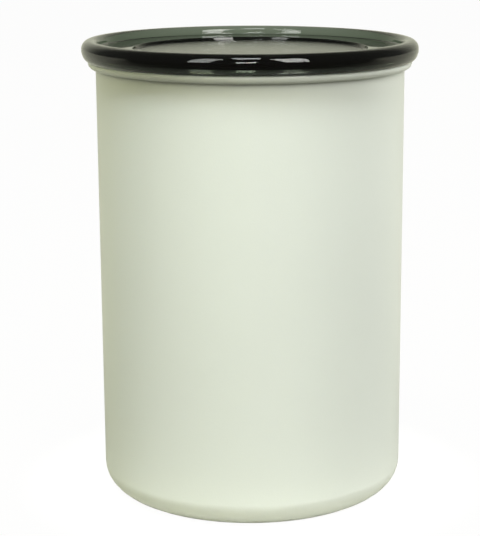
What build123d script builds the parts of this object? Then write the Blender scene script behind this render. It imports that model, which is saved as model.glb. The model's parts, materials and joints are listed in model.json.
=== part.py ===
from build123d import *

import os
from math import cos, pi, sin, tan

# Coffee canister: a drawn steel body with a curled rim, an outer lid that lifts off, and an inner
# lid that is pressed down onto the coffee and vents through a valve worked by its fold-down handle.
# Millimetres. The origin is the centre of the base, +Z is up and +Y points away from the viewer.

# Canister
body_radius = 59.5
sheet = 0.6
canister_height = 171.4
base_corner = 10.0
foot_width = 5.0
dish_rise = 1.6
dish_bend = 1.0
curl_radius = 1.75
curl_tuck_radius = 2.15

# Outer lid
lid_radius = 64.8
lid_recess = 4.4
lid_wall = 1.8
lid_ledge_width = 13.3
lid_ledge_rise = 1.1
lid_ledge_round = 0.45
lid_rim_width = 5.8
lid_rim_slope = 0.6
lid_top_round = 3.3
lid_inner_round = 2.3
lid_foot_round = 0.8
lid_skirt_cover = 0.9
lid_skirt_lip = 0.25
lid_skirt_curve_height = 3.2
lid_skirt_curve_round = 3.0
lid_skirt_knee_shares = (0.6, 0.3)
lid_fit_gap = 0.3
plug_depth = 4.5
plug_wall = 1.8
plug_gap = 0.7
plug_round = 0.5

# Gasket in the outer lid
gasket_thickness = 1.2
gasket_groove = 0.9
gasket_inset = 0.3
gasket_round = 0.3
seat_gap = 0.05

# Inner lid: plate, skirt and hub
plate_gap = 2.3
deck = 2.4
skirt_depth = 14.0
skirt_wall = 3.6
rim_lip = 1.6
rim_lip_width = 3.0
rim_lip_round = 0.7
hub_bore = 9.6
hub_wall = 2.0
hub_height = 6.5
hub_ledge = 0.8
hub_round = 0.5
rib_thickness = 1.6
rib_depth = 7.0
rib_count = 6
handle_to_lid_gap = 4.0

# Wiper seal round the inner lid
wiper_height = 7.0
wiper_top_drop = 3.2
wiper_body = 1.7
wiper_gap = 0.3
wiper_lip_root = 1.1
wiper_lip_tip = 0.6
wiper_lip_rise = 1.5
wiper_lip_inset = 0.7

# Bottom cover of the inner lid, its seal and screws
cover = 2.4
cover_edge_gap = 0.6
cover_edge_round = 0.8
spigot_wall = 2.0
spigot_height = 2.4
spigot_gap = 0.2
cover_seal_thickness = 0.8
cover_seal_width = 2.0
screw_count = 6
screw_radius = 1.25
screw_head_radius = 2.7
screw_head_height = 1.1
screw_head_round = 0.4
screw_length = 9.0
screw_hole_gap = 0.3
screw_sink = 1.3
boss_wall = 2.0
boss_edge_distance = 7.0
driver_slot_width = 0.8
driver_slot_depth = 0.6

# Valve seat and screen in the bottom cover
port_radius = 4.0
seat_width = 2.2
seat_height = 1.8
seat_round = 0.4
screen_radius = 7.8
screen_thickness = 0.4
screen_hole_radius = 0.5
screen_hole_pitch = 1.5
screen_hole_rings = 2
holes_per_ring_step = 6
screen_ring_width = 2.6
screen_ring_height = 1.0

# Valve
valve_travel = 3.0
valve_gap = 0.25
valve_seal_radius = 6.3
valve_seal_thickness = 1.6
stem_radius = 2.0
stem_neck_radius = 1.4
stem_head_radius = 2.4
stem_head_height = 1.0
stem_flange_radius = 5.4
stem_flange_height = 1.4
stem_socket_depth = 2.6
stem_round = 0.3
running_gap = 0.08
button_radius = 8.6
button_top = 2.0
button_skirt = 5.0
button_skirt_wall = 1.2
button_boss_wall = 1.4
button_round = 0.5
guide_height = 2.2
guide_rim = 1.5
guide_bushing_wall = 1.7
guide_spokes = 4
guide_spoke_width = 2.0
guide_lift_gap = 0.4
spring_wire_radius = 0.35
spring_radius = 5.3
spring_turns = 4
spring_end_gap = 0.1

# Handle, its pivots and its cam
pivot_height = 11.0
bar_radius = 4.0
cam_half_width = 4.5
ear_thickness = 3.0
ear_radius = 4.6
ear_foot_half_width = 7.5
ear_hub_gap = 3.0
ear_side_gap = 0.3
pin_radius = 1.5
pin_engagement = 6.0
pin_head_radius = 2.6
pin_head_height = 1.2
handle_reach = 40.0
handle_half_width = 33.0
handle_thickness = 5.0
handle_bar_width = 6.5
handle_corner_round = 14.0
handle_edge_round = 1.2
leg_width = 6.5
leg_length = 8.0
shoulder_length = 10.0
shoulder_round = 5.0
bridge_width = 6.0
window_round = 1.5

# One overrun for every cut, so that no tool ends flush with a face
overrun = 0.5

# Sizes that follow
bore_radius = body_radius - sheet
curl_height = canister_height - curl_radius
curl_centre = bore_radius + curl_radius
curl_outer = curl_centre + curl_radius
tuck_centre = curl_outer - curl_tuck_radius

gasket_bottom = canister_height + lid_fit_gap
lid_under = gasket_bottom + gasket_thickness - gasket_groove
lid_floor = lid_under + lid_wall
lid_top = lid_floor + lid_recess
plug_outer = bore_radius - plug_gap
skirt_bore = curl_outer + lid_fit_gap
gasket_inner = bore_radius + gasket_inset
gasket_outer = curl_outer - gasket_inset

plate_radius = bore_radius - plate_gap
skirt_inner = plate_radius - skirt_wall
hub_outer = hub_bore + hub_wall
cover_top = -skirt_depth
cover_bottom = cover_top - cover
boss_circle = skirt_inner - boss_edge_distance
boss_radius = screw_radius + boss_wall

seat_top = cover_top + seat_height
seal_bottom = seat_top + valve_gap
flange_bottom = seal_bottom + valve_seal_thickness
flange_top = flange_bottom + stem_flange_height
guide_bottom = flange_top + valve_travel + guide_lift_gap
guide_top = guide_bottom + guide_height
cam_rate = valve_travel / (pi / 2)
cam_reach = bar_radius + valve_travel
button_height = pivot_height - cam_reach - valve_gap
button_under = button_height - button_top

ear_inner = hub_outer + ear_hub_gap
ear_outer = ear_inner + ear_thickness
bar_half_length = ear_inner - ear_side_gap
deck_height = lid_under - handle_to_lid_gap - handle_reach - pivot_height


def turned(*corners):
    # A ring or disc about Z. Each corner of the outline is a radius, a height and a rounding.
    outline = FilletPolyline(
        *[(radius, height) for radius, height, _ in corners],
        radius=[rounding for _, _, rounding in corners],
        close=True,
    )
    return revolve(Plane.XZ * make_face(outline), Axis.Z)


def pillar(radius, low, high):
    # An upright cylinder between two heights
    return Pos(0, 0, low) * Cylinder(radius, high - low, align=(Align.CENTER, Align.CENTER, Align.MIN))


def crossbar(radius, low, high):
    # A cylinder along X between two places, at the height of the handle's pivot
    bar = Cylinder(radius, high - low, align=(Align.CENTER, Align.CENTER, Align.MIN))
    return Pos(low, 0, pivot_height) * Rot(0, 90, 0) * bar


def around(count, radius, shape, start=0):
    # Copies of a shape on a circle about Z
    return [Rot(0, 0, start + 360 * turn / count) * Pos(radius, 0, 0) * shape for turn in range(count)]


def curl_face(inset):
    # One face of the curled sheet: over the top, then tucked in towards the wall
    over = CenterArc((curl_centre, curl_height), curl_radius - inset, 180, -180)
    tuck = CenterArc((tuck_centre, curl_height), curl_tuck_radius - inset, 0, -90)
    return over + tuck


def canister_shell():
    # Drawn cup of one thickness: rounded base corner, standing ring, raised middle, curled rim
    foot_inner = body_radius - base_corner - foot_width
    dish_radius = foot_inner - dish_rise
    mitre = sheet * tan(pi / 8)
    skin = FilletPolyline(
        (body_radius, curl_height),
        (body_radius, 0),
        (foot_inner, 0),
        (dish_radius, dish_rise),
        (0, dish_rise),
        (0, dish_rise + sheet),
        (dish_radius + mitre, dish_rise + sheet),
        (foot_inner + mitre, sheet),
        (bore_radius, sheet),
        (bore_radius, curl_height),
        radius=[
            base_corner,
            dish_bend + sheet,
            dish_bend,
            0,
            0,
            dish_bend + sheet,
            dish_bend,
            base_corner - sheet,
        ],
    )
    tail = Line(
        (tuck_centre, curl_height - curl_tuck_radius),
        (tuck_centre, curl_height - curl_tuck_radius + sheet),
    )
    outline = skin.edges() + curl_face(0).edges() + curl_face(sheet).edges() + tail.edges()
    return revolve(Plane.XZ * make_face(outline), Axis.Z)


def outer_lid():
    # Clear lid: thick rounded rim, stacking recess with a raised ledge round its flat middle, plug
    # that drops into the mouth, and gasket groove
    rim_inner = lid_radius - lid_rim_width
    recess_radius = rim_inner - lid_rim_slope
    ledge_inner = recess_radius - lid_ledge_width
    ledge_top = lid_floor + lid_ledge_rise
    groove_top = lid_under + gasket_groove
    skirt_bottom = canister_height - lid_skirt_cover
    curve_top = skirt_bottom + lid_skirt_curve_height
    lip_radius = skirt_bore + lid_skirt_lip
    knee_radius = lip_radius + (lid_radius - lip_radius) * lid_skirt_knee_shares[0]
    knee_height = skirt_bottom + lid_skirt_curve_height * lid_skirt_knee_shares[1]
    return turned(
        (0, lid_under, 0),
        (plug_outer - plug_wall, lid_under, plug_round),
        (plug_outer - plug_wall, lid_under - plug_depth, plug_round),
        (plug_outer, lid_under - plug_depth, plug_round),
        (plug_outer, lid_under, 0),
        (gasket_inner, lid_under, 0),
        (gasket_inner, groove_top, 0),
        (gasket_outer, groove_top, 0),
        (gasket_outer, lid_under, 0),
        (skirt_bore, lid_under, 0),
        (skirt_bore, skirt_bottom, 0),
        (lip_radius, skirt_bottom, 0),
        (knee_radius, knee_height, lid_skirt_curve_round),
        (lid_radius, curve_top, lid_skirt_curve_round),
        (lid_radius, lid_top, lid_top_round),
        (rim_inner, lid_top, lid_inner_round),
        (recess_radius, ledge_top, lid_foot_round),
        (ledge_inner, ledge_top, lid_ledge_round),
        (ledge_inner, lid_floor, lid_ledge_round),
        (0, lid_floor, 0),
    )


def lid_gasket():
    # Flat silicone ring that fills its groove and stands out of it over the curled rim
    inner = gasket_inner + seat_gap
    outer = gasket_outer - seat_gap
    top = gasket_bottom + gasket_thickness
    return turned(
        (inner, gasket_bottom, gasket_round),
        (outer, gasket_bottom, gasket_round),
        (outer, top, 0),
        (inner, top, 0),
    )


def ear():
    # One pivot bracket: a tapered plate with a round head, standing on the deck
    foot = Polygon(
        (-ear_foot_half_width, -deck / 2),
        (ear_foot_half_width, -deck / 2),
        (ear_radius, pivot_height),
        (-ear_radius, pivot_height),
        align=None,
    )
    head = Pos(0, pivot_height) * Circle(ear_radius)
    return Pos(ear_inner, 0, 0) * extrude(Plane.YZ * (foot + head), ear_thickness)


def plunger_plate():
    # Moulded plate: deck with a raised rim, grooved skirt, hub for the valve, ribs, bosses and ears
    wiper_top = -wiper_top_drop
    wiper_low = wiper_top - wiper_height
    groove_radius = plate_radius - wiper_body
    body = turned(
        (hub_bore - hub_ledge, cover_top, 0),
        (hub_bore - hub_ledge, guide_bottom, 0),
        (hub_bore, guide_bottom, 0),
        (hub_bore, hub_height, hub_round),
        (hub_outer, hub_height, hub_round),
        (hub_outer, 0, hub_round),
        (plate_radius - rim_lip_width, 0, rim_lip_round),
        (plate_radius - rim_lip_width, rim_lip, rim_lip_round),
        (plate_radius, rim_lip, rim_lip_round),
        (plate_radius, wiper_top, 0),
        (groove_radius, wiper_top, 0),
        (groove_radius, wiper_low, 0),
        (plate_radius, wiper_low, 0),
        (plate_radius, cover_top, 0),
        (skirt_inner, cover_top, 0),
        (skirt_inner, -deck, 0),
        (hub_outer, -deck, 0),
        (hub_outer, cover_top, 0),
    )
    rib_length = skirt_inner - hub_outer + 2 * overrun
    rib = Pos(0, 0, -deck - rib_depth) * Box(
        rib_length,
        rib_thickness,
        rib_depth + overrun,
        align=(Align.MIN, Align.CENTER, Align.MIN),
    )
    body += around(rib_count, hub_outer - overrun, rib, start=180 / rib_count)
    body += around(screw_count, boss_circle, pillar(boss_radius, cover_top, -deck + overrun))
    pilot = pillar(screw_radius + seat_gap, cover_top - overrun, cover_bottom + screw_sink + screw_length)
    body -= around(screw_count, boss_circle, pilot)
    body += around(2, 0, ear())
    body -= crossbar(pin_radius + seat_gap, -ear_outer - overrun, ear_outer + overrun)
    return body


def wiper_seal():
    # Silicone ring with two lips that sweep the bore
    top = -wiper_top_drop
    low = top - wiper_height
    inner = plate_radius - wiper_body + seat_gap
    tip = bore_radius - wiper_gap
    ring = [(inner, low, 0), (plate_radius, low, 0)]
    for root in (low + wiper_lip_inset, top - wiper_lip_inset - wiper_lip_root):
        ring += [
            (plate_radius, root, 0),
            (tip, root + wiper_lip_rise, 0),
            (tip, root + wiper_lip_rise + wiper_lip_tip, 0),
            (plate_radius, root + wiper_lip_root, 0),
        ]
    ring += [(plate_radius, top, 0), (inner, top, 0)]
    return turned(*ring)


def screw_places(shape):
    return around(screw_count, boss_circle, shape)


def plunger_base():
    # Bottom cover: flange under the skirt, locating spigot, seal groove, valve seat, screen recess
    spigot_outer = skirt_inner - spigot_gap
    seal_inner = (skirt_inner + plate_radius - cover_seal_width) / 2
    seal_outer = seal_inner + cover_seal_width
    seal_low = cover_top - cover_seal_thickness
    edge = plate_radius - cover_edge_gap
    recess_top = cover_bottom + screen_thickness + screen_ring_height
    body = turned(
        (port_radius, recess_top, 0),
        (port_radius, seat_top, seat_round),
        (port_radius + seat_width, seat_top, seat_round),
        (port_radius + seat_width, cover_top, 0),
        (spigot_outer - spigot_wall, cover_top, 0),
        (spigot_outer - spigot_wall, cover_top + spigot_height, 0),
        (spigot_outer, cover_top + spigot_height, 0),
        (spigot_outer, cover_top, 0),
        (seal_inner, cover_top, 0),
        (seal_inner, seal_low, 0),
        (seal_outer, seal_low, 0),
        (seal_outer, cover_top, 0),
        (edge, cover_top, 0),
        (edge, cover_bottom, cover_edge_round),
        (screen_radius + seat_gap, cover_bottom, 0),
        (screen_radius + seat_gap, recess_top, 0),
    )
    body -= screw_places(pillar(screw_radius + screw_hole_gap, cover_bottom, cover_top + overrun))
    sink_radius = screw_head_radius + screw_hole_gap
    return body - screw_places(pillar(sink_radius, cover_bottom - overrun, cover_bottom + screw_sink))


def cover_seal():
    # Flat ring that makes the joint between plate and cover airtight
    inner = (skirt_inner + plate_radius - cover_seal_width) / 2 + seat_gap
    outer = inner + cover_seal_width - 2 * seat_gap
    low = cover_top - cover_seal_thickness
    return turned((inner, low, 0), (outer, low, 0), (outer, cover_top, 0), (inner, cover_top, 0))


def cover_screws():
    # Pan heads sunk in the cover, shanks up into the bosses of the plate
    seat = cover_bottom + screw_sink
    screw = turned(
        (0, seat - screw_head_height, 0),
        (screw_head_radius, seat - screw_head_height, screw_head_round),
        (screw_head_radius, seat, 0),
        (screw_radius, seat, 0),
        (screw_radius, seat + screw_length - overrun, 0),
        (0, seat + screw_length - overrun, 0),
    )
    slot = Pos(0, 0, seat - screw_head_height) * Box(
        2 * screw_radius,
        driver_slot_width,
        2 * driver_slot_depth,
    )
    return Compound(children=screw_places(screw - slot - Rot(0, 0, 90) * slot))


def vent_screen():
    # Perforated disc that keeps grounds out of the valve
    top = cover_bottom + screen_ring_height + screen_thickness
    low = top - screen_thickness
    hole = pillar(screen_hole_radius, low - overrun, top + overrun)
    disc = pillar(screen_radius, low, top) - hole
    for ring in range(1, screen_hole_rings + 1):
        disc -= around(holes_per_ring_step * ring, screen_hole_pitch * ring, hole)
    return disc


def screen_ring():
    # Ring that holds the screen in its recess
    inner = screen_radius - screen_ring_width
    top = cover_bottom + screen_ring_height
    return turned(
        (inner, cover_bottom, 0),
        (screen_radius, cover_bottom, 0),
        (screen_radius, top, 0),
        (inner, top, 0),
    )


def valve_guide():
    # Spoked insert that rests on the ledge of the hub, guides the stem and carries the spring
    bushing = stem_radius + running_gap
    outer = hub_bore - seat_gap
    rim = pillar(outer, guide_bottom, guide_top) - pillar(outer - guide_rim, guide_bottom, guide_top)
    middle = pillar(bushing + guide_bushing_wall, guide_bottom, guide_top)
    spoke = Pos(0, 0, guide_bottom) * Box(
        outer - guide_rim / 2,
        guide_spoke_width,
        guide_height,
        align=(Align.MIN, Align.CENTER, Align.MIN),
    )
    body = rim + middle + around(guide_spokes, 0, spoke)
    return body - pillar(bushing, guide_bottom - overrun, guide_top + overrun)


def valve_spring():
    # Compression spring between the guide and the underside of the button
    low = guide_top + spring_wire_radius
    high = button_under - spring_end_gap - spring_wire_radius
    coil = Pos(0, 0, low) * Helix((high - low) / spring_turns, high - low, spring_radius)
    wire = Plane(origin=coil @ 0, z_dir=coil % 0) * Circle(spring_wire_radius)
    return sweep(wire, path=coil, is_frenet=True)


def valve_stem():
    # Stem with a retaining head, a neck for the seal and a flange that backs it
    socket_top = button_under - button_boss_wall + stem_socket_depth
    return turned(
        (0, seal_bottom - stem_head_height, 0),
        (stem_head_radius, seal_bottom - stem_head_height, stem_round),
        (stem_head_radius, seal_bottom, 0),
        (stem_neck_radius, seal_bottom, 0),
        (stem_neck_radius, flange_bottom, 0),
        (stem_flange_radius, flange_bottom, 0),
        (stem_flange_radius, flange_top, stem_round),
        (stem_radius, flange_top, stem_round),
        (stem_radius, socket_top, 0),
        (0, socket_top, 0),
    )


def valve_seal():
    # Silicone disc stretched over the neck of the stem
    hole = stem_neck_radius + seat_gap
    return turned(
        (hole, seal_bottom, 0),
        (valve_seal_radius, seal_bottom, stem_round),
        (valve_seal_radius, flange_bottom, stem_round),
        (hole, flange_bottom, 0),
    )


def valve_button():
    # Cap that the cam presses: a flat top, a guiding skirt and a socket for the stem
    socket = stem_radius + seat_gap
    socket_low = button_under - button_boss_wall
    socket_top = socket_low + stem_socket_depth
    return turned(
        (0, button_height, 0),
        (button_radius, button_height, button_round),
        (button_radius, button_height - button_skirt, 0),
        (button_radius - button_skirt_wall, button_height - button_skirt, 0),
        (button_radius - button_skirt_wall, button_under, 0),
        (socket + button_boss_wall, button_under, 0),
        (socket + button_boss_wall, socket_low, 0),
        (socket, socket_low, 0),
        (socket, socket_top, 0),
        (0, socket_top, 0),
    )


def cam_point(turn):
    # The flat button sees a reach that falls evenly with the turn of the handle, in radians,
    # which makes this side of the cam the involute of a circle of radius cam_rate
    reach = cam_reach - cam_rate * turn
    facing = -pi / 2 - turn
    return (
        reach * cos(facing) - cam_rate * sin(facing),
        reach * sin(facing) + cam_rate * cos(facing),
    )


def cam():
    # Involute flank from the low side to the nose, rounded nose, straight back, round bar above
    nose_round = bar_radius - cam_rate
    flank_turns = [pi / 2 * step / 6 for step in range(7)]
    flank = Spline(*[cam_point(turn) for turn in flank_turns], tangents=[(-1, 0), (0, 1)])
    rise = Line(flank @ 1, (-bar_radius, 0))
    over = CenterArc((0, 0), bar_radius, 180, -180)
    back = Line((bar_radius, 0), (bar_radius, -cam_reach + nose_round))
    nose = CenterArc((cam_rate, -cam_reach + nose_round), nose_round, 0, -90)
    outline = flank.edges() + rise.edges() + over.edges() + back.edges() + nose.edges()
    section = Plane.YZ * Pos(0, pivot_height) * make_face(outline)
    return extrude(section, cam_half_width, both=True)


def handle():
    # Folded flat towards +Y: a stirrup grip on two legs, the pivot bar and the cam
    leg_outer = bar_half_length
    shoulder_end = leg_length + shoulder_length
    half = [
        (leg_outer, 0, 0),
        (leg_outer, leg_length, shoulder_round),
        (handle_half_width, shoulder_end, shoulder_round),
        (handle_half_width, handle_reach, handle_corner_round),
    ]
    mirrored = [(-x, y, rounding) for x, y, rounding in reversed(half)]
    grip = rounded_plate(half + mirrored)
    slot_low = shoulder_end - shoulder_round + bridge_width
    slot_half = handle_half_width - handle_bar_width
    half_slot = [
        (leg_outer - leg_width / 2, leg_length + bridge_width, shoulder_round / 2),
        (slot_half, slot_low, shoulder_round),
        (slot_half, handle_reach - handle_bar_width, handle_corner_round - handle_bar_width),
    ]
    mirrored_slot = [(-x, y, rounding) for x, y, rounding in reversed(half_slot)]
    slot = rounded_plate(half_slot + mirrored_slot, overrun)
    window_half = leg_outer - leg_width
    window = rounded_plate(
        [
            (window_half, -overrun, 0),
            (window_half, leg_length, window_round),
            (-window_half, leg_length, window_round),
            (-window_half, -overrun, 0),
        ],
        overrun,
    )
    flat = grip - slot - window
    flat = fillet(flat.faces().filter_by(Axis.Z).edges(), handle_edge_round)
    body = Pos(0, 0, pivot_height) * flat
    body += crossbar(bar_radius, -bar_half_length, bar_half_length)
    body += cam()
    bore = crossbar(
        pin_radius + running_gap,
        bar_half_length - pin_engagement - overrun,
        bar_half_length + overrun,
    )
    return body - around(2, 0, bore)


def rounded_plate(corners, extra=0):
    # A flat plate centred on the XY plane, from corners given as x, y and a rounding
    outline = FilletPolyline(
        *[(x, y) for x, y, _ in corners],
        radius=[rounding for _, _, rounding in corners],
        close=True,
    )
    return extrude(make_face(outline), handle_thickness / 2 + extra, both=True)


def hinge_pins():
    # Headed pins through the ears into the ends of the pivot bar
    shank = crossbar(pin_radius, bar_half_length - pin_engagement, ear_outer + overrun)
    head = crossbar(pin_head_radius, ear_outer, ear_outer + pin_head_height)
    return Compound(children=around(2, 0, shank + head))


fixed_nodes = {
    "canister_shell": canister_shell,
    "outer_lid": outer_lid,
    "lid_gasket": lid_gasket,
}
inner_lid_nodes = {
    "plunger_plate": plunger_plate,
    "wiper_seal": wiper_seal,
    "plunger_base": plunger_base,
    "cover_seal": cover_seal,
    "cover_screws": cover_screws,
    "vent_screen": vent_screen,
    "screen_ring": screen_ring,
    "valve_guide": valve_guide,
    "valve_spring": valve_spring,
    "valve_stem": valve_stem,
    "valve_seal": valve_seal,
    "valve_button": valve_button,
    "handle": handle,
    "hinge_pins": hinge_pins,
}

os.makedirs("parts", exist_ok=True)
for name, make in fixed_nodes.items():
    export_step(make(), f"parts/{name}.step")
for name, make in inner_lid_nodes.items():
    export_step(Pos(0, 0, deck_height) * make(), f"parts/{name}.step")
print("deck height", round(deck_height, 3), "lid top", round(lid_top, 3))
print("pivot height", round(deck_height + pivot_height, 3), "valve rate per radian", round(cam_rate, 4))
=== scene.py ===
import json
from math import atan2, cos, degrees, pi, radians, sin, tan

import bmesh
import bpy
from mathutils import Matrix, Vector


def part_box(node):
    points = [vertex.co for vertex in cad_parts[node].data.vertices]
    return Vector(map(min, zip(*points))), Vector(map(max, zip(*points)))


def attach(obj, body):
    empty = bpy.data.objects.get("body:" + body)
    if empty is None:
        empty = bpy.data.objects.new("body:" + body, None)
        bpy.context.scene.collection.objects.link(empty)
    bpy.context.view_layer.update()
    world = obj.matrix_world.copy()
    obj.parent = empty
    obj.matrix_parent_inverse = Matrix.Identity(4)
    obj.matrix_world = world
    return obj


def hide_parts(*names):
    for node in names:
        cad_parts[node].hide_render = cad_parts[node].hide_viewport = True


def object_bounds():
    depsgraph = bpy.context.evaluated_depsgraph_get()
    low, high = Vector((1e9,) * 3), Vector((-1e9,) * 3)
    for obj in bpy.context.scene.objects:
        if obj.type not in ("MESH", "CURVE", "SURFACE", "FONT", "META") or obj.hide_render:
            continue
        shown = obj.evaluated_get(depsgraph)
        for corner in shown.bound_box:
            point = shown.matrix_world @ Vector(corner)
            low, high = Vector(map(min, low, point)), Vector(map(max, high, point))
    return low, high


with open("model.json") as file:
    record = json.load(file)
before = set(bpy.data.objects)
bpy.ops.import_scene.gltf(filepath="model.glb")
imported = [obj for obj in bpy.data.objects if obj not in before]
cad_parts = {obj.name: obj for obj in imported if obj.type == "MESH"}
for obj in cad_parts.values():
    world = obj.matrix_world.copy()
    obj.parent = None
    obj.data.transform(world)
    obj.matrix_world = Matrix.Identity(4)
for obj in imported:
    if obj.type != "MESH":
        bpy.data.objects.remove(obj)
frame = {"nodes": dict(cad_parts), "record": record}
cadLow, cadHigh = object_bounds()
nodes = frame["nodes"]
mm = 0.001
print("frame loaded", len(nodes), "nodes")

# The photograph's frame in pixels, and the camera's place and degrees of turn
photo = {
    "width": 480,
    "height": 536,
    "focalPixels": 1632.5,
    "axisColumn": 286.98,
    "axisRow": 271.13,
}
cameraPlace = {
    "location": (0.0, -0.6330, 0.2337),
    "down": 13.125,
    "aside": 1.280,
    "sensor": 36.0,
    "clipStart": 0.01,
}


def makeCamera():
    data = bpy.data.cameras.new("photoCamera")
    data.sensor_width = cameraPlace["sensor"]
    longSide = max(photo["width"], photo["height"])
    data.lens = photo["focalPixels"] * data.sensor_width / longSide
    data.shift_x = (photo["width"] / 2 - photo["axisColumn"]) / longSide
    data.shift_y = (photo["axisRow"] - photo["height"] / 2) / longSide
    data.clip_start = cameraPlace["clipStart"]
    camera = bpy.data.objects.new("photoCamera", data)
    camera.location = cameraPlace["location"]
    down, aside = radians(90 - cameraPlace["down"]), radians(-cameraPlace["aside"])
    camera.rotation_euler = (down, 0, aside)
    bpy.context.scene.collection.objects.link(camera)
    bpy.context.scene.camera = camera


# Stage: floor, world and lamps

white = (1, 1, 1, 1)
stage = {
    "floorSize": 12.0,
    "floorNear": (0.54, 0.53, 0.46, 1),
    "floorFar": (0.10, 0.097, 0.08, 1),
    "nearReach": 0.060,
    "farReach": 0.100,
    "floorWhite": 1.10,
    "shadowShare": 0.12,
    "lightBehind": (0.80, 0.81, 0.72, 1),
    "lightFront": (0.05, 0.052, 0.045, 1),
    "lightFrom": -0.35,
    "lightTo": 0.25,
    "mirrorBehind": (0.68, 0.69, 0.55, 1),
    "mirrorFront": (0.145, 0.15, 0.13, 1),
    "mirrorFloor": (0.12, 0.12, 0.10, 1),
    "mirrorFrom": 0.50,
    "mirrorTo": 0.97,
    "floorMirrorFrom": -0.2,
    "floorMirrorTo": 0.3,
}
# Turn is degrees round from the front to the right, and rise is degrees up, both from the middle
# of the object. The gloss mirrors the key itself, neutral cards in the places of the fill and the
# overhead box, and three low windows in front. The cards and windows light nothing matt.
lamps = {
    "keyRight": {"turn": 31, "rise": 38, "away": 1.95, "size": (0.60, 1.30), "watts": 23.5,
                 "color": (1.0, 1.0, 0.95)},
    "fillLeft": {"turn": -35, "rise": 38, "away": 1.95, "size": (0.50, 1.30), "watts": 9.9,
                 "color": (1.0, 1.0, 0.58), "mirrored": False},
    "overhead": {"turn": -10, "rise": 69, "away": 1.60, "size": (0.80, 0.45), "watts": 33.0,
                 "color": (0.93, 0.97, 1.0), "mirrored": False},
    "sideRight": {"turn": 125, "rise": 12, "away": 1.90, "size": (0.80, 1.00), "watts": 21.5,
                  "color": (1.0, 1.0, 0.96), "mirrored": False},
    "sideLeft": {"turn": -125, "rise": 12, "away": 1.90, "size": (0.80, 1.00), "watts": 4.5,
                 "color": (1.0, 1.0, 0.45), "mirrored": False},
    "cardLeft": {"turn": -34, "rise": 38, "away": 1.95, "size": (0.48, 1.30), "watts": 9.4,
                 "color": (0.97, 1.0, 0.96), "lights": False},
    "cardAbove": {"turn": -4, "rise": 64, "away": 1.60, "size": (0.36, 0.50), "watts": 4.0,
                  "color": (0.96, 0.98, 1.0), "lights": False},
    "windowLeft": {"turn": -34, "rise": 16, "away": 1.95, "size": (0.52, 0.24), "watts": 3.0,
                   "color": (1.0, 1.0, 0.98), "lights": False},
    "windowMiddle": {"turn": -3, "rise": 16, "away": 1.95, "size": (0.42, 0.24), "watts": 6.0,
                     "color": (1.0, 1.0, 0.98), "lights": False},
    "windowRight": {"turn": 29, "rise": 16, "away": 1.95, "size": (0.42, 0.24), "watts": 2.4,
                    "color": (1.0, 1.0, 0.98), "lights": False},
}


def newMaterial(name):
    material = bpy.data.materials.new(name)
    material.use_nodes = True
    tree = material.node_tree
    tree.nodes.clear()
    output = tree.nodes.new("ShaderNodeOutputMaterial")
    return material, tree, output


def addNode(tree, kind, at=(0, 0), **values):
    node = tree.nodes.new(kind)
    node.location = at
    for key, value in values.items():
        setattr(node, key, value)
    return node


def mathNode(tree, operation, first, second, at=(0, 0), third=0.0):
    node = addNode(tree, "ShaderNodeMath", at, operation=operation)
    for index, value in enumerate((first, second, third)):
        if isinstance(value, (int, float)):
            node.inputs[index].default_value = value
        else:
            tree.links.new(value, node.inputs[index])
    return node.outputs[0]


def sightMix(tree, lit, mirrored, seen, whiteShare):
    # Lit is the light it gives, mirrored is what gloss shows of it, and seen is for the camera and
    # through glass, though not for light that a matt surface gets through glass
    path = addNode(tree, "ShaderNodeLightPath", (-900, 400))
    camera, through = path.outputs["Is Camera Ray"], path.outputs["Is Transmission Ray"]
    either = mathNode(tree, "MAXIMUM", camera, through, (-700, 400))
    straight = mathNode(tree, "LESS_THAN", path.outputs["Diffuse Depth"], 0.5, (-700, 250))
    direct = mathNode(tree, "MULTIPLY", either, straight, (-500, 250))
    share = mathNode(tree, "MULTIPLY", direct, whiteShare, (-500, 400))
    inGlass = addNode(tree, "ShaderNodeMixShader", (200, 100))
    tree.links.new(path.outputs["Is Glossy Ray"], inGlass.inputs["Fac"])
    tree.links.new(lit, inGlass.inputs[1])
    tree.links.new(mirrored, inGlass.inputs[2])
    plain = addNode(tree, "ShaderNodeMixShader", (400, 100))
    tree.links.new(share, plain.inputs["Fac"])
    tree.links.new(inGlass.outputs[0], plain.inputs[1])
    tree.links.new(seen, plain.inputs[2])
    return plain.outputs[0]


def backShare(tree, output, low, high):
    # Nought in front of the object and one behind it, by the Y of a coordinate
    place = addNode(tree, "ShaderNodeTexCoord", (-900, 0))
    parts = addNode(tree, "ShaderNodeSeparateXYZ", (-700, 0))
    tree.links.new(place.outputs[output], parts.inputs[0])
    behind = addNode(tree, "ShaderNodeMapRange", (-500, 0), interpolation_type="SMOOTHSTEP")
    behind.inputs["From Min"].default_value = low
    behind.inputs["From Max"].default_value = high
    tree.links.new(parts.outputs["Y"], behind.inputs["Value"])
    return behind.outputs["Result"]


def blend(tree, share, first, second, at):
    # A colour mix, whose sockets for colours are 6 and 7 and whose result is output 2
    mix = addNode(tree, "ShaderNodeMix", at, data_type="RGBA")
    mix.inputs[6].default_value = first
    mix.inputs[7].default_value = second
    tree.links.new(share, mix.inputs[0])
    return mix.outputs[2]


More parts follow.
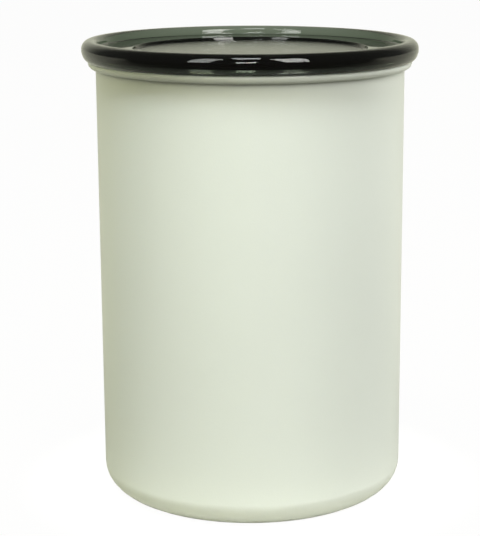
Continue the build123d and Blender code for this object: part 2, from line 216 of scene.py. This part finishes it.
def makeFloor():
    bpy.ops.object.select_all(action="DESELECT")
    bpy.ops.mesh.primitive_plane_add(size=stage["floorSize"])
    floor = bpy.context.object
    floor.name = "floor"
    material, tree, output = newMaterial("paleFloor")
    output.location = (600, 100)
    lit = addNode(tree, "ShaderNodeBsdfDiffuse", (-100, 100))
    place = addNode(tree, "ShaderNodeTexCoord", (-900, 700))
    distance = addNode(tree, "ShaderNodeVectorMath", (-700, 700), operation="LENGTH")
    tree.links.new(place.outputs["Object"], distance.inputs[0])
    far = addNode(tree, "ShaderNodeMapRange", (-500, 700), interpolation_type="SMOOTHSTEP")
    far.inputs["From Min"].default_value = stage["nearReach"]
    far.inputs["From Max"].default_value = stage["farReach"]
    tree.links.new(distance.outputs["Value"], far.inputs["Value"])
    ground = blend(tree, far.outputs["Result"], stage["floorNear"], stage["floorFar"], (-300, 700))
    tree.links.new(ground, lit.inputs["Color"])
    mirrored = addNode(tree, "ShaderNodeEmission", (-100, -50))
    share = backShare(tree, "Object", stage["floorMirrorFrom"], stage["floorMirrorTo"])
    shade = blend(tree, share, stage["mirrorFloor"], stage["mirrorBehind"], (-300, -50))
    tree.links.new(shade, mirrored.inputs["Color"])
    seen = addNode(tree, "ShaderNodeEmission", (-100, -200))
    seen.inputs["Color"].default_value = white
    seen.inputs["Strength"].default_value = stage["floorWhite"]
    whiteShare = 1 - stage["shadowShare"]
    mixed = sightMix(tree, lit.outputs[0], mirrored.outputs[0], seen.outputs[0], whiteShare)
    tree.links.new(mixed, output.inputs["Surface"])
    floor.data.materials.append(material)


def makeWorld():
    # White to the eye, and in light and reflections a pale room behind and a dim one in front
    world = bpy.data.worlds.new("studio")
    bpy.context.scene.world = world
    world.use_nodes = True
    tree = world.node_tree
    tree.nodes.clear()
    output = addNode(tree, "ShaderNodeOutputWorld", (600, 100))
    lit = addNode(tree, "ShaderNodeBackground", (-100, 100))
    share = backShare(tree, "Generated", stage["lightFrom"], stage["lightTo"])
    glow = blend(tree, share, stage["lightFront"], stage["lightBehind"], (-300, 100))
    tree.links.new(glow, lit.inputs["Color"])
    mirrored = addNode(tree, "ShaderNodeBackground", (-100, -50))
    share = backShare(tree, "Generated", stage["mirrorFrom"], stage["mirrorTo"])
    room = blend(tree, share, stage["mirrorFront"], stage["mirrorBehind"], (-300, -150))
    tree.links.new(room, mirrored.inputs["Color"])
    seen = addNode(tree, "ShaderNodeBackground", (-100, -200))
    seen.inputs["Color"].default_value = white
    mixed = sightMix(tree, lit.outputs[0], mirrored.outputs[0], seen.outputs[0], 1)
    tree.links.new(mixed, output.inputs["Surface"])


def makeLamps():
    target = (cadLow + cadHigh) / 2
    for name, lamp in lamps.items():
        turn, rise = radians(lamp["turn"]), radians(lamp["rise"])
        aim = Vector((sin(turn) * cos(rise), -cos(turn) * cos(rise), sin(rise)))
        data = bpy.data.lights.new(name, "AREA")
        data.shape = "RECTANGLE"
        data.size, data.size_y = lamp["size"]
        data.energy = lamp["watts"]
        data.color = lamp["color"]
        light = bpy.data.objects.new(name, data)
        light.location = target + aim * lamp["away"]
        light.rotation_euler = aim.to_track_quat("Z", "Y").to_euler()
        light.visible_glossy = lamp.get("mirrored", True)
        light.visible_diffuse = lamp.get("lights", True)
        bpy.context.scene.collection.objects.link(light)


# Shared shader groups: they put out values and heights only

groupDetail = {
    "cloud": 3.0,
    "peelBroad": 1.0,
    "peelGrain": 2.0,
    "grainFiner": 3.7,
    "hairlines": 4.0,
}


def newGroup(name, inputs, outputs):
    group = bpy.data.node_groups.new(name, "ShaderNodeTree")
    for label, value in inputs.items():
        socket = group.interface.new_socket(
            name=label, in_out="INPUT", socket_type="NodeSocketFloat")
        socket.default_value = value
    for label in outputs:
        group.interface.new_socket(name=label, in_out="OUTPUT", socket_type="NodeSocketFloat")
    start = addNode(group, "NodeGroupInput", (-900, 0))
    end = addNode(group, "NodeGroupOutput", (600, 0))
    return group, start, end


def cloudGroup():
    # Slow cloudiness: a value about zero, as wide as Amount
    group, start, end = newGroup("cloudiness", {"Scale": 20.0, "Amount": 0.1}, ["Value"])
    place = addNode(group, "ShaderNodeTexCoord", (-900, 300))
    noise = addNode(group, "ShaderNodeTexNoise", (-600, 200))
    noise.inputs["Detail"].default_value = groupDetail["cloud"]
    group.links.new(place.outputs["Object"], noise.inputs["Vector"])
    group.links.new(start.outputs["Scale"], noise.inputs["Scale"])
    centred = mathNode(group, "SUBTRACT", noise.outputs["Fac"], 0.5, (-300, 100))
    wide = mathNode(group, "MULTIPLY", centred, start.outputs["Amount"], (0, 100))
    group.links.new(wide, end.inputs["Value"])
    return group


def peelGroup():
    # Orange peel of a baked powder, or the spark texture of a mould, as a height: broad waves and a
    # finer grain over them
    group, start, end = newGroup("peel", {"Scale": 900.0, "Fine": 0.35}, ["Height"])
    place = addNode(group, "ShaderNodeTexCoord", (-900, 300))
    broad = addNode(group, "ShaderNodeTexNoise", (-600, 250))
    broad.inputs["Detail"].default_value = groupDetail["peelBroad"]
    grain = addNode(group, "ShaderNodeTexNoise", (-600, -50))
    grain.inputs["Detail"].default_value = groupDetail["peelGrain"]
    finer = groupDetail["grainFiner"]
    grainScale = mathNode(group, "MULTIPLY", start.outputs["Scale"], finer, (-800, -100))
    group.links.new(place.outputs["Object"], broad.inputs["Vector"])
    group.links.new(place.outputs["Object"], grain.inputs["Vector"])
    group.links.new(start.outputs["Scale"], broad.inputs["Scale"])
    group.links.new(grainScale, grain.inputs["Scale"])
    fine = mathNode(group, "MULTIPLY", grain.outputs["Fac"], start.outputs["Fine"], (-300, -50))
    total = mathNode(group, "ADD", broad.outputs["Fac"], fine, (0, 100))
    group.links.new(total, end.inputs["Height"])
    return group


def hairlineGroup():
    # Hairlines that run round the axis, as on drawn and turned metal
    group, start, end = newGroup("hairlines", {"Scale": 60.0, "Stretch": 30.0}, ["Value"])
    place = addNode(group, "ShaderNodeTexCoord", (-900, 300))
    parts = addNode(group, "ShaderNodeSeparateXYZ", (-700, 300))
    group.links.new(place.outputs["Object"], parts.inputs[0])
    radius = addNode(group, "ShaderNodeVectorMath", (-700, 100), operation="LENGTH")
    flat = addNode(group, "ShaderNodeCombineXYZ", (-800, 100))
    group.links.new(parts.outputs["X"], flat.inputs["X"])
    group.links.new(parts.outputs["Y"], flat.inputs["Y"])
    group.links.new(flat.outputs[0], radius.inputs[0])
    height = mathNode(group, "MULTIPLY", parts.outputs["Z"], start.outputs["Stretch"], (-500, 300))
    across = radius.outputs["Value"]
    reach = mathNode(group, "MULTIPLY", across, start.outputs["Stretch"], (-500, 100))
    lines = addNode(group, "ShaderNodeCombineXYZ", (-350, 200))
    group.links.new(height, lines.inputs["X"])
    group.links.new(reach, lines.inputs["Y"])
    noise = addNode(group, "ShaderNodeTexNoise", (-150, 200))
    noise.inputs["Detail"].default_value = groupDetail["hairlines"]
    group.links.new(lines.outputs[0], noise.inputs["Vector"])
    group.links.new(start.outputs["Scale"], noise.inputs["Scale"])
    group.links.new(noise.outputs["Fac"], end.inputs["Value"])
    return group


groups = {
    "cloud": cloudGroup(),
    "peel": peelGroup(),
    "hairlines": hairlineGroup(),
}


def useGroup(tree, name, at, **values):
    node = addNode(tree, "ShaderNodeGroup", at, node_tree=groups[name])
    for key, value in values.items():
        node.inputs[key].default_value = value
    return node.outputs[0]


def finishMaterial(name, look):
    # A clouded colour and roughness, and a peel for the fine surface, with hairlines on drawn steel
    material, tree, output = newMaterial(name)
    output.location = (900, 0)
    shader = addNode(tree, "ShaderNodeBsdfPrincipled", (500, 0))
    for key, value in look["shader"].items():
        shader.inputs[key].default_value = value
    tree.links.new(shader.outputs[0], output.inputs["Surface"])
    cloud = useGroup(tree, "cloud", (-900, 200), Scale=look["cloudScale"], Amount=1.0)
    middle = 0.5
    shade = mathNode(tree, "MULTIPLY_ADD", cloud, look["cloudColor"], (-600, 200), middle)
    color = blend(tree, shade, look["dark"], look["light"], (-300, 200))
    tree.links.new(color, shader.inputs["Base Color"])
    rough = mathNode(tree, "MULTIPLY_ADD", cloud, look["cloudRough"], (-300, -100), look["rough"])
    height = useGroup(tree, "peel", (-300, -500), Scale=look["peelScale"], Fine=look["peelFine"])
    if "hairScale" in look:
        hair = useGroup(tree, "hairlines", (-900, -200), Scale=look["hairScale"],
                        Stretch=look["hairStretch"])
        hairRough = mathNode(tree, "MULTIPLY", hair, look["hairRough"], (-600, -200))
        rough = mathNode(tree, "ADD", rough, hairRough, (-50, -100))
        height = mathNode(tree, "MULTIPLY_ADD", hair, look["hairDepth"], (-50, -400), height)
    tree.links.new(rough, shader.inputs["Roughness"])
    bump = addNode(tree, "ShaderNodeBump", (200, -300))
    bump.inputs["Strength"].default_value = look["bump"]
    bump.inputs["Distance"].default_value = look["bumpDepth"]
    tree.links.new(height, bump.inputs["Height"])
    tree.links.new(bump.outputs[0], shader.inputs["Normal"])
    return material


looks = {
    "powderCoat": {
        "shader": {"IOR": 1.5, "Specular IOR Level": 0.6},
        "dark": (0.690, 0.722, 0.676, 1),
        "light": (0.738, 0.772, 0.724, 1),
        "cloudScale": 18.0,
        "cloudColor": 0.8,
        "cloudRough": 0.10,
        "rough": 0.31,
        "peelScale": 1500.0,
        "peelFine": 0.4,
        "bump": 0.12,
        "bumpDepth": 0.0002,
    },
    "bareSteel": {
        "shader": {"Metallic": 1.0, "Anisotropic": 0.4},
        "dark": (0.42, 0.42, 0.40, 1),
        "light": (0.56, 0.56, 0.54, 1),
        "cloudScale": 30.0,
        "cloudColor": 0.6,
        "cloudRough": 0.10,
        "rough": 0.24,
        "hairScale": 40.0,
        "hairStretch": 60.0,
        "hairRough": 0.16,
        "hairDepth": 1.5,
        "peelScale": 700.0,
        "peelFine": 0.2,
        "bump": 0.10,
        "bumpDepth": 0.0002,
    },
    "blackSilicone": {
        "shader": {"IOR": 1.41, "Specular IOR Level": 0.5, "Sheen Weight": 0.15,
                   "Sheen Roughness": 0.5},
        "dark": (0.016, 0.016, 0.016, 1),
        "light": (0.026, 0.026, 0.025, 1),
        "cloudScale": 60.0,
        "cloudColor": 0.8,
        "cloudRough": 0.12,
        "rough": 0.50,
        "peelScale": 900.0,
        "peelFine": 0.6,
        "bump": 0.10,
        "bumpDepth": 0.0001,
    },
    "innerLidPlastic": {
        "shader": {"IOR": 1.49, "Specular IOR Level": 0.5},
        "dark": (0.045, 0.047, 0.046, 1),
        "light": (0.062, 0.064, 0.062, 1),
        "cloudScale": 45.0,
        "cloudColor": 0.7,
        "cloudRough": 0.10,
        "rough": 0.42,
        "peelScale": 2600.0,
        "peelFine": 0.8,
        "bump": 0.22,
        "bumpDepth": 0.0001,
    },
    "handlePlastic": {
        "shader": {"IOR": 1.49, "Specular IOR Level": 0.5},
        "dark": (0.022, 0.023, 0.023, 1),
        "light": (0.034, 0.035, 0.034, 1),
        "cloudScale": 60.0,
        "cloudColor": 0.7,
        "cloudRough": 0.10,
        "rough": 0.34,
        "peelScale": 2200.0,
        "peelFine": 0.5,
        "bump": 0.10,
        "bumpDepth": 0.0001,
    },
    "valvePlastic": {
        "shader": {"IOR": 1.48, "Specular IOR Level": 0.5, "Subsurface Weight": 0.15,
                   "Subsurface Scale": 0.002},
        "dark": (0.60, 0.60, 0.56, 1),
        "light": (0.70, 0.70, 0.66, 1),
        "cloudScale": 70.0,
        "cloudColor": 0.7,
        "cloudRough": 0.08,
        "rough": 0.30,
        "peelScale": 1800.0,
        "peelFine": 0.5,
        "bump": 0.06,
        "bumpDepth": 0.0001,
    },
    "turnedSteel": {
        "shader": {"Metallic": 1.0, "Anisotropic": 0.3},
        "dark": (0.50, 0.50, 0.48, 1),
        "light": (0.62, 0.62, 0.60, 1),
        "cloudScale": 120.0,
        "cloudColor": 0.6,
        "cloudRough": 0.10,
        "rough": 0.26,
        "peelScale": 1800.0,
        "peelFine": 0.3,
        "bump": 0.08,
        "bumpDepth": 0.0001,
    },
}
smoke = {
    "ior": 1.49,
    "rough": 0.02,
    "roughWide": 0.02,
    "discRough": 0.20,
    "cloudScale": 14.0,
    "absorbColor": (0.115, 0.20, 0.06, 1),
    "absorbDensity": 372.0,
    # Colour of the painted shade on the skirt's inner face, which darkens what shows through it
    "paintedShadeColor": (0.16, 0.18, 0.15, 1),
    "peelScale": 60.0,
    "peelFine": 0.05,
    "bump": 0.002,
    "bumpDepth": 0.0003,
}


def smokePlastic(name):
    # Clear plastic with the tint in its thickness: a thin panel is pale and a thick rim near black.
    # Faces marked as frosted are rougher, and faces marked with painted shade are dark: this is
    # shade painted on the skirt's inner face. One material for all of them keeps the tint inside
    # the lid whole.
    material, tree, output = newMaterial(name)
    output.location = (900, 0)
    shader = addNode(tree, "ShaderNodeBsdfPrincipled", (500, 0))
    shader.inputs["IOR"].default_value = smoke["ior"]
    # The painted-shade mark darkens the tint on the skirt's inner faces
    paintedShade = addNode(tree, "ShaderNodeAttribute", (-900, 500), attribute_name="paintedShade")
    color = blend(tree, paintedShade.outputs["Fac"], white, smoke["paintedShadeColor"], (-300, 500))
    tree.links.new(color, shader.inputs["Base Color"])
    shader.inputs["Transmission Weight"].default_value = 1.0
    cloud = useGroup(tree, "cloud", (-600, 0), Scale=smoke["cloudScale"],
                     Amount=smoke["roughWide"])
    frosted = addNode(tree, "ShaderNodeAttribute", (-900, 200), attribute_name="frosted")
    rougher = smoke["discRough"] - smoke["rough"]
    marked = frosted.outputs["Fac"]
    base = mathNode(tree, "MULTIPLY_ADD", marked, rougher, (-600, 200), smoke["rough"])
    rough = mathNode(tree, "ADD", cloud, base, (-300, 0))
    tree.links.new(rough, shader.inputs["Roughness"])
    peel = useGroup(tree, "peel", (-300, -300), Scale=smoke["peelScale"], Fine=smoke["peelFine"])
    bump = addNode(tree, "ShaderNodeBump", (100, -300))
    bump.inputs["Strength"].default_value = smoke["bump"]
    bump.inputs["Distance"].default_value = smoke["bumpDepth"]
    tree.links.new(peel, bump.inputs["Height"])
    tree.links.new(bump.outputs[0], shader.inputs["Normal"])
    tree.links.new(shader.outputs[0], output.inputs["Surface"])
    absorb = addNode(tree, "ShaderNodeVolumeAbsorption", (500, -400))
    absorb.inputs["Color"].default_value = smoke["absorbColor"]
    absorb.inputs["Density"].default_value = smoke["absorbDensity"]
    tree.links.new(absorb.outputs[0], output.inputs["Volume"])
    return material


materials = {name: finishMaterial(name, look) for name, look in looks.items()}
materials["smokePlastic"] = smokePlastic("smokePlastic")
print("materials made", len(materials))

# Turned pieces: a ring is extruded from corner to corner and the corners are bevelled round.
# The angles are in degrees.

turning = {
    "ringReach": 1e-6,
    "bendStep": 11,
    "leastSteps": 2,
    "shadeAngle": 35,
}


def arcCorners(centre, radius, start, end, count):
    # Points of an arc as sharp corners, from one angle to the other
    across, up = centre
    angles = [radians(start + (end - start) * step / count) for step in range(count + 1)]
    return [(across + radius * cos(angle), up + radius * sin(angle), 0) for angle in angles]


def onRing(vert, radius, height):
    near = turning["ringReach"]
    return abs(vert.co.xy.length - radius) < near and abs(vert.co.z - height) < near


def selectRing(mesh, radius, height):
    # The edges of one ring, found by the radius and height of their ends
    bm = bmesh.from_edit_mesh(mesh)
    for vert in bm.verts:
        vert.select = onRing(vert, radius, height)
    bm.select_flush_mode()
    for edge in bm.edges:
        edge.select = all(vert.select for vert in edge.verts)
    bmesh.update_edit_mesh(mesh)


def smoothEdges(angle):
    # The active piece is shaded round, with its broad flats kept flat
    bpy.ops.object.shade_smooth_by_angle(angle=radians(angle))
    bpy.ops.object.modifier_add(type="WEIGHTED_NORMAL")
    weigh = bpy.context.object.modifiers[-1]
    weigh.keep_sharp = True
    bpy.ops.object.modifier_apply(modifier=weigh.name)


def turnedPiece(name, corners, segments, closed=False, bendStep=turning["bendStep"]):
    # Corners are (radius, height, rounding). The first and last lie on the axis, and a closed
    # section has none on it.
    rings = corners if closed else corners[1:-1]
    bpy.ops.object.select_all(action="DESELECT")
    radius, height, _ = rings[0]
    bpy.ops.mesh.primitive_circle_add(vertices=segments, radius=radius, fill_type="NOTHING",
                                      location=(0, 0, height))
    piece = bpy.context.object
    piece.name = name
    bpy.ops.object.transform_apply(location=True)
    bpy.ops.object.mode_set(mode="EDIT")
    bpy.ops.mesh.select_mode(type="VERT")
    bpy.ops.mesh.select_all(action="SELECT")
    for nextRadius, nextHeight, _ in rings[1:]:
        bpy.ops.mesh.extrude_region_move(
            TRANSFORM_OT_translate={"value": (0, 0, nextHeight - height)})
        grow = nextRadius / radius
        bpy.ops.transform.resize(value=(grow, grow, 1), center_override=(0, 0, nextHeight))
        radius, height = nextRadius, nextHeight
    if closed:
        bm = bmesh.from_edit_mesh(piece.data)
        ends = (rings[0][:2], (radius, height))
        for edge in bm.edges:
            edge.select = any(all(onRing(vert, *end) for vert in edge.verts) for end in ends)
        bmesh.update_edit_mesh(piece.data)
        bpy.ops.mesh.bridge_edge_loops()
    else:
        bpy.ops.mesh.edge_face_add()
        selectRing(piece.data, *rings[0][:2])
        bpy.ops.mesh.edge_face_add()
    bpy.ops.mesh.select_mode(type="EDGE")
    count = len(corners)
    for index, (cornerRadius, cornerHeight, rounding) in enumerate(corners):
        if rounding <= 0:
            continue
        before, after = corners[index - 1], corners[(index + 1) % count]
        first = atan2(cornerHeight - before[1], cornerRadius - before[0])
        second = atan2(after[1] - cornerHeight, after[0] - cornerRadius)
        turn = abs((second - first + pi) % (2 * pi) - pi)
        selectRing(piece.data, cornerRadius, cornerHeight)
        steps = max(turning["leastSteps"], round(degrees(turn) / bendStep))
        bpy.ops.mesh.bevel(offset=rounding * tan(turn / 2), segments=steps, profile=0.5,
                           affect="EDGES", offset_type="OFFSET")
    bpy.ops.mesh.select_all(action="SELECT")
    bpy.ops.mesh.normals_make_consistent(inside=False)
    bpy.ops.object.mode_set(mode="OBJECT")
    smoothEdges(turning["shadeAngle"])
    return piece


# Canister

_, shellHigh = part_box("canister_shell")
shell = {
    "bodyRadius": 59.5 * mm,
    "sheet": 0.6 * mm,
    "baseCorner": 10.0 * mm,
    "footWidth": 5.0 * mm,
    "dishRise": 1.6 * mm,
    "dishBend": 1.0 * mm,
    "curlRadius": 1.75 * mm,
    "tuckRadius": 2.15 * mm,
    "height": shellHigh.z,
    "segments": 224,
    "curlSteps": 20,
    "curlInnerSteps": 16,
    "tuckSteps": 12,
    "tuckInnerSteps": 10,
    "boreMargin": 0.2 * mm,
    "facesUp": 0.2,
}


def makeShell():
    bore = shell["bodyRadius"] - shell["sheet"]
    curlHeight = shell["height"] - shell["curlRadius"]
    curlCentre = bore + shell["curlRadius"]
    tuckCentre = curlCentre + shell["curlRadius"] - shell["tuckRadius"]
    footInner = shell["bodyRadius"] - shell["baseCorner"] - shell["footWidth"]
    dish = footInner - shell["dishRise"]
    mitre = shell["sheet"] * tan(pi / 8)
    bend, sheet = shell["dishBend"], shell["sheet"]
    curlMiddle, tuckMiddle = (curlCentre, curlHeight), (tuckCentre, curlHeight)
    curl, tuck = shell["curlRadius"], shell["tuckRadius"]
    corners = [
        (0, shell["dishRise"], 0),
        (dish, shell["dishRise"], bend),
        (footInner, 0, bend + sheet),
        (shell["bodyRadius"], 0, shell["baseCorner"]),
        (shell["bodyRadius"], curlHeight, 0),
    ]
    corners += arcCorners(curlMiddle, curl - sheet, 180, 0, shell["curlInnerSteps"])[1:]
    corners += arcCorners(tuckMiddle, tuck - sheet, 0, -90, shell["tuckInnerSteps"])[1:]
    corners += arcCorners(tuckMiddle, tuck, -90, 0, shell["tuckSteps"])
    corners += arcCorners(curlMiddle, curl, 0, 180, shell["curlSteps"])[1:]
    corners += [
        (bore, sheet, shell["baseCorner"] - sheet),
        (footInner + mitre, sheet, bend),
        (dish + mitre, shell["dishRise"] + sheet, bend + sheet),
        (0, shell["dishRise"] + sheet, 0),
    ]
    piece = turnedPiece("canisterBody", corners, shell["segments"])
    piece.data.materials.append(materials["powderCoat"])
    piece.data.materials.append(materials["bareSteel"])
    # The powder stops at the mouth, and the bore and floor are bare steel
    for face in piece.data.polygons:
        within = face.center.xy.length < bore + shell["boreMargin"]
        below = face.center.z < curlHeight
        inwards = face.normal.z > shell["facesUp"] or face.normal.xy.dot(face.center.xy) < 0
        face.material_index = 1 if within and below and inwards else 0
    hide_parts("canister_shell")
    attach(piece, "canister")
    print("canister body made", len(piece.data.polygons), "faces")


makeShell()

# Outer lid and its gasket

_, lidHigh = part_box("outer_lid")
outerLid = {
    "radius": lidHigh.x,
    "top": lidHigh.z,
    "bottom": shellHigh.z - 0.9 * mm,
    "wall": 1.8 * mm,
    "recess": 4.4 * mm,
    "ledgeWidth": 13.3 * mm,
    "ledgeRise": 1.1 * mm,
    "ledgeRound": 0.2 * mm,
    "ledgeSlope": 0.4 * mm,
    "rimWidth": 5.8 * mm,
    "rimSlope": 0.6 * mm,
    "topRound": 3.3 * mm,
    "innerRound": 2.3 * mm,
    "footRound": 0.8 * mm,
    "fitGap": 0.3 * mm,
    "skirtLip": 0.25 * mm,
    "curveHeight": 3.2 * mm,
    "curveRound": 3.0 * mm,
    "kneeShares": (0.6, 0.3),
    "plugDepth": 4.5 * mm,
    "plugWall": 1.8 * mm,
    "plugGap": 0.7 * mm,
    "plugRound": 0.5 * mm,
    "segments": 256,
    "bendStep": 6,
    "facesUp": 0.99,
    "markMargin": 0.01 * mm,
}
gasket = {
    "thickness": 1.2 * mm,
    "groove": 0.9 * mm,
    "inset": 0.3 * mm,
    "play": 0.05 * mm,
    "round": 0.3 * mm,
}


def makeLid():
    lid = outerLid
    bore = shell["bodyRadius"] - shell["sheet"]
    curlOuter = bore + 2 * shell["curlRadius"]
    floor = lid["top"] - lid["recess"]
    under = floor - lid["wall"]
    rimInner = lid["radius"] - lid["rimWidth"]
    recess = rimInner - lid["rimSlope"]
    ledgeInner = recess - lid["ledgeWidth"]
    ledgeTop = floor + lid["ledgeRise"]
    plugOuter = bore - lid["plugGap"]
    plugInner = plugOuter - lid["plugWall"]
    skirtBore = curlOuter + lid["fitGap"]
    lip = skirtBore + lid["skirtLip"]
    kneeAcross, kneeUp = lid["kneeShares"]
    knee = lip + (lid["radius"] - lip) * kneeAcross
    kneeHeight = lid["bottom"] + lid["curveHeight"] * kneeUp
    slope = lid["ledgeSlope"] / 2
    grooveInner = bore + gasket["inset"]
    grooveOuter = curlOuter - gasket["inset"]
    grooveTop = under + gasket["groove"]
    corners = [
        (0, under, 0),
        (plugInner, under, lid["plugRound"]),
        (plugInner, under - lid["plugDepth"], lid["plugRound"]),
        (plugOuter, under - lid["plugDepth"], lid["plugRound"]),
        (plugOuter, under, 0),
        (grooveInner, under, 0),
        (grooveInner, grooveTop, 0),
        (grooveOuter, grooveTop, 0),
        (grooveOuter, under, 0),
        (skirtBore, under, 0),
        (skirtBore, lid["bottom"], 0),
        (lip, lid["bottom"], 0),
        (knee, kneeHeight, lid["curveRound"]),
        (lid["radius"], lid["bottom"] + lid["curveHeight"], lid["curveRound"]),
        (lid["radius"], lid["top"], lid["topRound"]),
        (rimInner, lid["top"], lid["innerRound"]),
        (recess, ledgeTop, lid["footRound"]),
        (ledgeInner + slope, ledgeTop, lid["ledgeRound"]),
        (ledgeInner - slope, floor, lid["ledgeRound"]),
        (0, floor, 0),
    ]
    piece = turnedPiece("clearLid", corners, lid["segments"], bendStep=lid["bendStep"])
    piece.data.materials.append(materials["smokePlastic"])
    # The frosted mark roughens the disc, and the painted-shade mark darkens the skirt's inner faces
    # as painted shade
    for mark in ("frosted", "paintedShade"):
        piece.data.attributes.new(mark, "FLOAT", "FACE")
    frosted, paintedShade = (piece.data.attributes[mark].data for mark in ("frosted", "paintedShade"))
    for face in piece.data.polygons:
        radius = face.center.xy.length
        height = face.center.z
        onDisc = radius < ledgeInner and face.normal.z > lid["facesUp"] and height > under
        inSkirt = grooveInner < radius < lip and height < grooveTop + lid["markMargin"]
        frosted[face.index].value = 1.0 if onDisc else 0.0
        paintedShade[face.index].value = 1.0 if inSkirt else 0.0
    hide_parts("outer_lid")
    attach(piece, "outer_lid")
    print("outer lid made", len(piece.data.polygons), "faces")
    inner, outer = grooveInner + gasket["play"], grooveOuter - gasket["play"]
    bottom = grooveTop - gasket["thickness"]
    ring = turnedPiece("lidGasketRing", [
        (inner, bottom, gasket["round"]),
        (outer, bottom, gasket["round"]),
        (outer, grooveTop, 0),
        (inner, grooveTop, 0),
    ], lid["segments"], closed=True)
    ring.data.materials.append(materials["blackSilicone"])
    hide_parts("lid_gasket")
    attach(ring, "outer_lid")


makeLid()

# Every other piece has the shape of its solid, with the triangles joined and shaded round

finishes = {
    "plunger_plate": "innerLidPlastic",
    "wiper_seal": "blackSilicone",
    "plunger_base": "innerLidPlastic",
    "cover_seal": "blackSilicone",
    "cover_screws": "turnedSteel",
    "vent_screen": "turnedSteel",
    "screen_ring": "valvePlastic",
    "valve_guide": "valvePlastic",
    "valve_spring": "turnedSteel",
    "valve_stem": "valvePlastic",
    "valve_seal": "blackSilicone",
    "valve_button": "valvePlastic",
    "handle": "handlePlastic",
    "hinge_pins": "turnedSteel",
}
# The spring is squeezed by its joint, so its own node stays
keptNodes = {"valve_spring"}
smoothing = {
    "joinReach": 0.002 * mm,
    "shadeAngle": 28,
}
bodies = frame["record"]["behaviour"]["bodies"]
bodyOf = {nodeName: body for body, members in bodies.items() for nodeName in members}


def smoothCopy(nodeName):
    node = nodes[nodeName]
    piece = bpy.data.objects.new("smooth_" + nodeName, node.data.copy())
    bpy.context.scene.collection.objects.link(piece)
    bpy.ops.object.select_all(action="DESELECT")
    piece.select_set(True)
    bpy.context.view_layer.objects.active = piece
    bpy.ops.object.mode_set(mode="EDIT")
    bpy.ops.mesh.select_mode(type="VERT")
    bpy.ops.mesh.select_all(action="SELECT")
    bpy.ops.mesh.remove_doubles(threshold=smoothing["joinReach"])
    bpy.ops.object.mode_set(mode="OBJECT")
    smoothEdges(smoothing["shadeAngle"])
    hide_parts(nodeName)
    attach(piece, bodyOf[nodeName])
    return piece


for nodeName, finish in finishes.items():
    piece = nodes[nodeName] if nodeName in keptNodes else smoothCopy(nodeName)
    piece.data.materials.clear()
    piece.data.materials.append(materials[finish])
print("finishes given", len(finishes))

makeCamera()
makeFloor()
makeWorld()
makeLamps()
print("stage set")

bpy.context.scene.view_settings.view_transform = "Standard"
